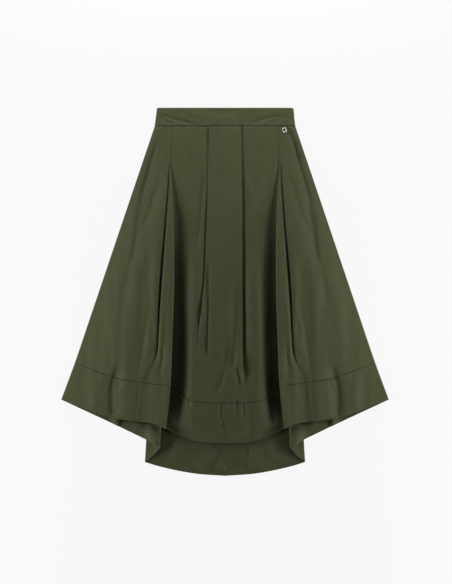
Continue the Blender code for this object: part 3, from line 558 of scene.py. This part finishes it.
def clothObject(name, grid, material):
    # a grid of cloth moved onto its points, with its flat coordinates in metres as UVs, and a wall
    rows, columns = grid.z.shape
    points = np.stack([grid.side * grid.out, skirt["length"] / 2 - grid.down, grid.z], -1) * mm
    across = np.linalg.norm(np.diff(points, axis=1), axis=-1)
    along = np.linalg.norm(np.diff(points, axis=0), axis=-1)
    flatU = np.concatenate([np.zeros((rows, 1)), np.cumsum(across, axis=1)], axis=1)
    flatU -= flatU[:, columns // 2: columns // 2 + 1]
    flatV = np.concatenate([np.zeros((1, columns)), np.cumsum(along, axis=0)])
    bm = bmesh.new()
    layer = bm.loops.layers.uv.new("cloth")
    bmesh.ops.create_grid(bm, x_segments=columns - 1, y_segments=rows - 1, size=0.5)
    bm.verts.ensure_lookup_table()
    # the grid's first row is its lowest
    for k, vertex in enumerate(bm.verts):
        j, i = rows - 1 - k // columns, k % columns
        vertex.co = points[j, i]
    for face in bm.faces:
        for loop in face.loops:
            j, i = rows - 1 - loop.vert.index // columns, loop.vert.index % columns
            loop[layer].uv = (flatU[j, i], -flatV[j, i])
        face.smooth = True
    mesh = bpy.data.meshes.new(name)
    bm.to_mesh(mesh)
    bm.free()
    mesh.materials.append(material)
    piece = bpy.data.objects.new(name, mesh)
    bpy.context.scene.collection.objects.link(piece)
    solid = piece.modifiers.new("wall", "SOLIDIFY")
    solid.thickness, solid.offset = skirt["wall"] * mm, 0.0
    print(f"{name}: {columns} x {rows}, top {across[0].sum():.3f} m, bottom {across[-1].sum():.3f} m, "
          f"length {flatV[-1].max():.3f} m")
    return piece


def newGroup(name, inputs, outputs):
    group = bpy.data.node_groups.new(name, "ShaderNodeTree")
    for label, kind, value in inputs:
        socket = group.interface.new_socket(label, in_out="INPUT", socket_type=kind)
        socket.default_value = value
    for label, kind in outputs:
        group.interface.new_socket(label, in_out="OUTPUT", socket_type=kind)
    return group, group.nodes.new("NodeGroupInput"), group.nodes.new("NodeGroupOutput")


def maths(tree, kind, one, other=None, third=None):
    node = tree.nodes.new("ShaderNodeMath")
    node.operation = kind
    for socket, value in zip(node.inputs, (one, other, third)):
        if value is None:
            continue
        if isinstance(value, (int, float)):
            socket.default_value = value
        else:
            tree.links.new(value, socket)
    return node.outputs[0]


olive = (0.064, 0.075, 0.031)
poplinLook = {
    "pitch": 0.00045, "reliefDepth": 0.00008, "roughness": 0.72, "roughnessSwing": -0.08, "specular": 0.2,
    "sheen": 0.06, "sheenRoughness": 0.4,
    "warpSlub": (420.0, 9.0, 2.0), "weftSlub": (12.0, 380.0, 2.0), "mottle": (60.0, 22.0, 3.0),
}


def poplinGroup():
    # the plain weave's height, its slubs and the uneven dye, from flat cloth coordinates in metres
    group, given, result = newGroup(
        "poplinWeave",
        [("Cloth", "NodeSocketVector", (0, 0, 0)), ("Colour", "NodeSocketColor", (*olive, 1)),
         ("Pitch", "NodeSocketFloat", poplinLook["pitch"]), ("Slub", "NodeSocketFloat", 0.1),
         ("Roughness", "NodeSocketFloat", poplinLook["roughness"])],
        [("Colour", "NodeSocketColor"), ("Roughness", "NodeSocketFloat"), ("Height", "NodeSocketFloat")],
    )
    nodes, links = group.nodes, group.links
    apart = nodes.new("ShaderNodeSeparateXYZ")
    links.new(given.outputs["Cloth"], apart.inputs[0])
    turns = maths(group, "DIVIDE", 2 * math.pi, given.outputs["Pitch"])
    warp = maths(group, "SINE", maths(group, "MULTIPLY", apart.outputs["X"], turns))
    weft = maths(group, "SINE", maths(group, "MULTIPLY", apart.outputs["Y"], turns))
    weave = maths(group, "MULTIPLY", warp, weft)

    def streaks(across, along, detail):
        # noise with so many streaks a metre across and along the cloth
        stretch = nodes.new("ShaderNodeMapping")
        stretch.inputs["Scale"].default_value = (across, along, 1.0)
        links.new(given.outputs["Cloth"], stretch.inputs["Vector"])
        threads = nodes.new("ShaderNodeTexNoise")
        threads.inputs["Scale"].default_value = 1.0
        threads.inputs["Detail"].default_value = detail
        links.new(stretch.outputs[0], threads.inputs["Vector"])
        return threads.outputs["Fac"]

    warpSlub, weftSlub, mottle = (streaks(*poplinLook[name]) for name in ("warpSlub", "weftSlub", "mottle"))
    slubs = maths(group, "MULTIPLY_ADD", weftSlub, 0.5, warpSlub)
    uneven = maths(group, "SUBTRACT", maths(group, "ADD", slubs, mottle), 1.25)  # less the mean of the three
    level = maths(group, "MULTIPLY_ADD", uneven, given.outputs["Slub"], 1.0)
    shade = nodes.new("ShaderNodeMix")
    shade.data_type, shade.blend_type = "RGBA", "MULTIPLY"
    shade.inputs["Factor"].default_value = 1.0
    grey = nodes.new("ShaderNodeCombineColor")
    for socket in grey.inputs:
        links.new(level, socket)
    links.new(given.outputs["Colour"], shade.inputs["A"])
    links.new(grey.outputs[0], shade.inputs["B"])
    links.new(shade.outputs["Result"], result.inputs["Colour"])
    rough = maths(group, "MULTIPLY_ADD", uneven, poplinLook["roughnessSwing"], given.outputs["Roughness"])
    links.new(rough, result.inputs["Roughness"])
    links.new(maths(group, "MULTIPLY_ADD", warpSlub, 0.6, weave), result.inputs["Height"])
    return group


weaveGroup = poplinGroup()


def poplin(name, slub, relief):
    material = bpy.data.materials.new(name)
    material.use_nodes = True
    tree = material.node_tree
    shader = tree.nodes["Principled BSDF"]
    weave = tree.nodes.new("ShaderNodeGroup")
    weave.node_tree = weaveGroup
    weave.inputs["Slub"].default_value = slub
    cloth = tree.nodes.new("ShaderNodeUVMap")
    cloth.uv_map = "cloth"
    tree.links.new(cloth.outputs[0], weave.inputs["Cloth"])
    tree.links.new(weave.outputs["Colour"], shader.inputs["Base Color"])
    tree.links.new(weave.outputs["Roughness"], shader.inputs["Roughness"])
    bump = tree.nodes.new("ShaderNodeBump")
    bump.inputs["Strength"].default_value = relief
    bump.inputs["Distance"].default_value = poplinLook["reliefDepth"]
    tree.links.new(weave.outputs["Height"], bump.inputs["Height"])
    tree.links.new(bump.outputs[0], shader.inputs["Normal"])
    shader.inputs["Specular IOR Level"].default_value = poplinLook["specular"]
    shader.inputs["Sheen Weight"].default_value = poplinLook["sheen"]
    shader.inputs["Sheen Roughness"].default_value = poplinLook["sheenRoughness"]
    return material


skirtPoplin = poplin("olivePoplin", 0.2, 0.25)
bandPoplin = poplin("fusedPoplin", 0.16, 0.2)

# Rows of cloth: how many there are, and the distances of the close ones from each seam and hem.
clothRows = {"panel": 120, "band": 24, "besideSeam": np.array([0.0, 0.6, 1.3, 2.6]),
             "belowWaist": np.array([0.0, 1.2, 2.6]), "besideHem": np.array([0.0, 1.0])}


def panelRows(hem, seam):
    top = skirt["waistSeam"]
    down = np.linspace(top, seam, clothRows["panel"])
    return np.concatenate([top + clothRows["belowWaist"], down[1:-1], seam - clothRows["besideSeam"][::-1]])


def bandRows(hem, seam):
    down = np.linspace(seam, hem, clothRows["band"])
    return np.concatenate([seam + clothRows["besideSeam"], down[1:-1], hem - clothRows["besideHem"][::-1]])


def dress(piece, node):
    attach(piece, "skirt")
    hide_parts(node)
    return piece


def layPiece(name, node, grid, material=skirtPoplin):
    return dress(clothObject(name, crumple(grid), material), node)


frontGrid = clothGrid(frontHalf, panelRows, skirt["cell"])
frontPanel = layPiece("frontPanel", "front_panel", frontGrid)
frontHemBand = layPiece("frontHemBand", "front_hem_band", clothGrid(frontHalf, bandRows, skirt["bandCell"]))
backPanel = layPiece("backPanel", "back_panel", clothGrid(backHalf, panelRows, skirt["cell"]))
backHemBand = layPiece("backHemBand", "back_hem_band", clothGrid(backHalf, bandRows, skirt["bandCell"]))
frontWaistband = layPiece("frontWaistband", "waistband_front", waistGrid(True), bandPoplin)
backWaistband = layPiece("backWaistband", "waistband_back", waistGrid(False), bandPoplin)

print("panels laid")

plate = {"out": 148.6, "down": 55.8, "half": (5.3, 6.3), "hole": (2.9, 4.5), "holeAt": (-0.5, 0.1),
         "thick": 1.0, "bevel": 0.35, "cornerAngle": 60, "smoothAngle": 50, "turn": 12.0, "square": 3.4,
         "around": 64, "restReach": 12.0, "clear": 0.1}
satinNickel = {"colour": (0.84, 0.83, 0.79), "roughness": 0.3, "metallic": 0.45, "wear": 0.04}


def restPlane(grid, out, down, reach):
    # the plane z = level + x * out + y * down on which a stiff piece lies, above the cloth near a place
    near = (grid.layer == "flap") & (grid.side > 0) & (np.hypot(grid.out - out, grid.down - down) < reach)
    spots = np.stack([np.ones(near.sum()), grid.out[near] - out, grid.down[near] - down], -1)
    fit = np.linalg.lstsq(spots, grid.z[near], rcond=None)[0]
    fit[0] += (grid.z[near] - spots @ fit).max() + halfWall + plate["clear"]
    return fit


grain = {"scale": 900.0, "detail": 3.0, "relief": 0.3, "reliefDepth": 0.00005}


def grainGroup():
    # fine unevenness of a hard surface, in its roughness and level
    group, given, result = newGroup(
        "fineGrain",
        [("Place", "NodeSocketVector", (0, 0, 0)), ("Roughness", "NodeSocketFloat", 0.3),
         ("Wear", "NodeSocketFloat", 0.05)],
        [("Roughness", "NodeSocketFloat"), ("Height", "NodeSocketFloat")],
    )
    speckle = group.nodes.new("ShaderNodeTexNoise")
    speckle.inputs["Scale"].default_value = grain["scale"]
    speckle.inputs["Detail"].default_value = grain["detail"]
    group.links.new(given.outputs["Place"], speckle.inputs["Vector"])
    uneven = maths(group, "MULTIPLY_ADD", speckle.outputs["Fac"], 2.0, -1.0)
    rough = maths(group, "MULTIPLY_ADD", uneven, given.outputs["Wear"], given.outputs["Roughness"])
    group.links.new(rough, result.inputs["Roughness"])
    group.links.new(speckle.outputs["Fac"], result.inputs["Height"])
    return group


hardGrain = grainGroup()


def hardFinish(name, colour, roughness, metallic, wear):
    material = bpy.data.materials.new(name)
    material.use_nodes = True
    tree = material.node_tree
    shader = tree.nodes["Principled BSDF"]
    shader.inputs["Base Color"].default_value = (*colour, 1.0)
    shader.inputs["Metallic"].default_value = metallic
    place = tree.nodes.new("ShaderNodeTexCoord")
    surface = tree.nodes.new("ShaderNodeGroup")
    surface.node_tree = hardGrain
    surface.inputs["Roughness"].default_value = roughness
    surface.inputs["Wear"].default_value = wear
    tree.links.new(place.outputs["Object"], surface.inputs["Place"])
    tree.links.new(surface.outputs["Roughness"], shader.inputs["Roughness"])
    bump = tree.nodes.new("ShaderNodeBump")
    bump.inputs["Strength"].default_value = grain["relief"]
    bump.inputs["Distance"].default_value = grain["reliefDepth"]
    tree.links.new(surface.outputs["Height"], bump.inputs["Height"])
    tree.links.new(bump.outputs[0], shader.inputs["Normal"])
    return material


def metalPlate():
    # a rounded square with an oval hole, cut from sheet metal, laid on the cloth
    bm = bmesh.new()
    rim, hole = (bmesh.ops.create_circle(bm, segments=plate["around"], radius=1.0)["verts"] for _ in range(2))
    for vertex in rim:
        for axis, half in enumerate(plate["half"]):
            across = vertex.co[axis]
            vertex.co[axis] = math.copysign(abs(across) ** (2 / plate["square"]), across) * half
    for vertex in hole:
        for axis in (0, 1):
            vertex.co[axis] = plate["holeAt"][axis] + plate["hole"][axis] * vertex.co[axis]
    bmesh.ops.bridge_loops(bm, edges=bm.edges)
    bmesh.ops.recalc_face_normals(bm, faces=bm.faces)
    bmesh.ops.solidify(bm, geom=bm.faces, thickness=plate["thick"])
    lowest = min(vertex.co.z for vertex in bm.verts)
    bmesh.ops.translate(bm, verts=bm.verts, vec=(0, 0, -lowest))
    corners = [edge for edge in bm.edges if min(vertex.co.z for vertex in edge.verts) > plate["thick"] / 2
               and edge.calc_face_angle() > math.radians(plate["cornerAngle"])]
    bmesh.ops.bevel(bm, geom=corners, offset=plate["bevel"], segments=3, profile=0.5, affect="EDGES",
                    material=-1)
    bmesh.ops.rotate(bm, verts=bm.verts, matrix=Matrix.Rotation(math.radians(plate["turn"]), 3, "Z"))
    level, slopeOut, slopeDown = restPlane(frontGrid, plate["out"], plate["down"], plate["restReach"])
    for vertex in bm.verts:
        vertex.co.z += level + slopeOut * vertex.co.x - slopeDown * vertex.co.y
    bmesh.ops.translate(bm, verts=bm.verts, vec=(plate["out"], skirt["length"] / 2 - plate["down"], 0))
    bmesh.ops.scale(bm, verts=bm.verts, vec=(mm, mm, mm))
    bmesh.ops.recalc_face_normals(bm, faces=bm.faces)
    mesh = bpy.data.meshes.new("metalPlate")
    bm.to_mesh(mesh)
    bm.free()
    mesh.shade_smooth()
    mesh.set_sharp_from_angle(angle=math.radians(plate["smoothAngle"]))
    mesh.materials.append(hardFinish("satinNickel", **satinNickel))
    piece = bpy.data.objects.new("metalPlate", mesh)
    bpy.context.scene.collection.objects.link(piece)
    return piece


dress(metalPlate(), "metal_plate")
nylon = {"colour": (0.052, 0.060, 0.026), "roughness": 0.55, "metallic": 0.0, "wear": 0.08}
lacquer = {"colour": (0.058, 0.066, 0.030), "roughness": 0.32, "metallic": 0.2, "wear": 0.05}
zipFinishes = {
    "zip_strip": hardFinish("oliveNylon", **nylon),
    "zip_slider": hardFinish("oliveLacquer", **lacquer),
    "zip_pull": hardFinish("oliveLacquerPull", **lacquer),
}
for node, finish in zipFinishes.items():
    for holder in bpy.data.objects[node].material_slots:
        holder.material = finish
print("hard pieces finished")

# The stage: a pale floor, low soft lights around the skirt and an overhead camera.
stage = {"cameraHeight": 7.0, "fieldHeight": 1.46, "centre": (0.00243, -0.00025), "farthest": 50.0,
         "floorHalf": 20.0, "floorZ": -0.0002, "floorGrey": 0.05, "floorGlow": 0.9, "floorRoughness": 0.9,
         "ambient": 0.0, "lampAim": 0.6}

floorMesh = bpy.data.meshes.new("floor")
bm = bmesh.new()
bmesh.ops.create_grid(bm, x_segments=1, y_segments=1, size=stage["floorHalf"])
bm.to_mesh(floorMesh)
bm.free()
floor = bpy.data.objects.new("floor", floorMesh)
bpy.context.scene.collection.objects.link(floor)
floor.location.z = stage["floorZ"]
paper = bpy.data.materials.new("palePaper")
paper.use_nodes = True
shader = paper.node_tree.nodes["Principled BSDF"]
shader.inputs["Base Color"].default_value = (stage["floorGrey"],) * 3 + (1.0,)
shader.inputs["Roughness"].default_value = stage["floorRoughness"]
shader.inputs["Specular IOR Level"].default_value = 0.0
shader.inputs["Emission Color"].default_value = (1.0, 1.0, 1.0, 1.0)
shader.inputs["Emission Strength"].default_value = stage["floorGlow"]
floorMesh.materials.append(paper)

lights = entries(
    "name place size power",
    ("leftSoftbox", (-1.15, 0.0, 0.45), (0.3, 0.35), 6.4),
    ("rightSoftbox", (1.15, 0.0, 0.45), (0.3, 0.35), 6.4),
    ("topSoftbox", (0.0, 1.3, 0.4), (1.6, 0.3), 20.0),
    ("lowerLeftSoftbox", (-1.15, -0.8, 0.2), (0.3, 0.35), 11.5),
    ("lowerRightSoftbox", (1.15, -0.8, 0.2), (0.3, 0.35), 11.5),
)
for row in lights:
    lamp = bpy.data.lights.new(row["name"], "AREA")
    lamp.shape, lamp.size, lamp.size_y = "RECTANGLE", *row["size"]
    lamp.energy = row["power"]
    holder = bpy.data.objects.new(row["name"], lamp)
    holder.location = row["place"]
    aim = Vector((0, row["place"][1] * stage["lampAim"], 0)) - Vector(row["place"])
    holder.rotation_euler = aim.to_track_quat("-Z", "Y").to_euler()
    holder.visible_camera = False
    bpy.context.scene.collection.objects.link(holder)

world = bpy.data.worlds.new("studio")
world.use_nodes = True
world.node_tree.nodes["Background"].inputs["Color"].default_value = (1.0, 1.0, 1.0, 1.0)
world.node_tree.nodes["Background"].inputs["Strength"].default_value = stage["ambient"]
bpy.context.scene.world = world
bpy.context.scene.view_settings.view_transform = "Standard"

camera = bpy.data.objects.new("overhead", bpy.data.cameras.new("overhead"))
camera.data.lens = camera.data.sensor_width * stage["cameraHeight"] / stage["fieldHeight"]
camera.location = (*stage["centre"], stage["cameraHeight"])
camera.data.clip_end = stage["farthest"]
bpy.context.scene.collection.objects.link(camera)
bpy.context.scene.camera = camera
print("stage set")
